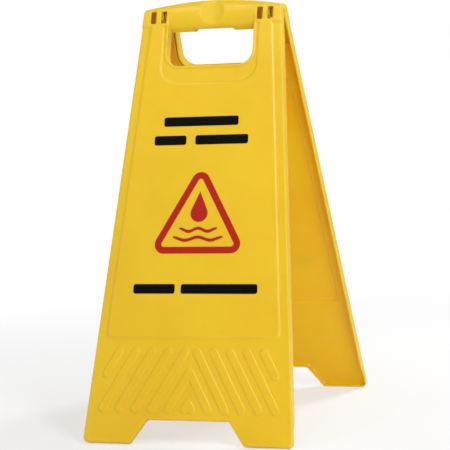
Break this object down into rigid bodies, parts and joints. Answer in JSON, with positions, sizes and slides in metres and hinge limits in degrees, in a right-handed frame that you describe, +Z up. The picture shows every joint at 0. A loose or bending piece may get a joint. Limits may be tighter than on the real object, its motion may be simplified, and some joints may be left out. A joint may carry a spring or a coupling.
{
  "type": "wet floor sign",
  "caption": "Folding A-frame floor safety sign: leaves hinged inside a rounded carrying handle, with a hand hole, raised print field, chevron ribs and notched feet.",
  "frame": {"origin": "on the floor, midway between the feet and straight below the hinge axis", "axes": "+Z up, +X along the hinge axis, the front leaf faces -Y; stands open at rest"},
  "size_m": [0.2998, 0.422, 0.6004],
  "materials": {
    "yellow_plastic": "fine moulded texture, soft sheen",
    "pin_steel": "drawn wire"
  },
  "bodies": {
    "front_leaf": {"front_panel": "yellow_plastic"},
    "rear_leaf": {"rear_panel": "yellow_plastic", "hinge_pin_left": "pin_steel", "hinge_pin_right": "pin_steel"}
  },
  "joints": [
    {"name": "fold", "type": "hinge", "parent": "front_leaf", "child": "rear_leaf", "pos_m": [0, 0, 0.5796], "axis": [-1, 0, 0], "range_deg": [0, 37.4]}
  ]
}
